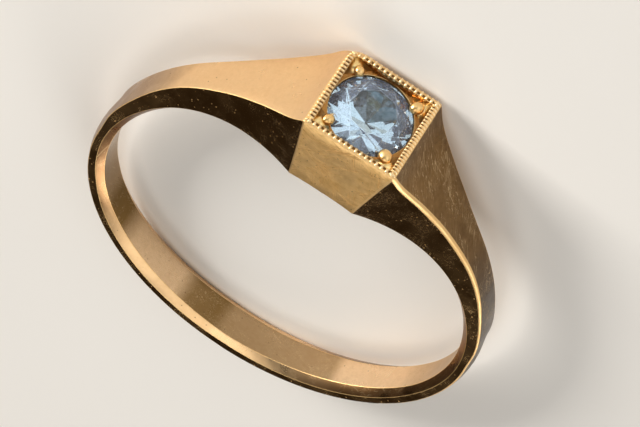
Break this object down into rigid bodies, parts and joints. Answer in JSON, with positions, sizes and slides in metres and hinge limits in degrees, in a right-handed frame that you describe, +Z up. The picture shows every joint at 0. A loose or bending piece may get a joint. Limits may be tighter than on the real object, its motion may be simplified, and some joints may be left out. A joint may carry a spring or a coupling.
{
  "type": "spinel ring",
  "caption": "Gold ring with a square milled head and one pale blue round brilliant spinel held by four grains.",
  "frame": {"origin": "centre of the bounding box's bottom, on the surface that the ring lies on", "axes": "+Z up, +X along the band across the head, +Y from the finger hole towards the stone"},
  "size_m": [0.0192, 0.0227, 0.0045],
  "materials": {
    "gold": "polished",
    "spinel": "polished"
  },
  "bodies": {
    "root": {"ring_body": "gold", "spinel": "spinel"}
  },
  "joints": []
}
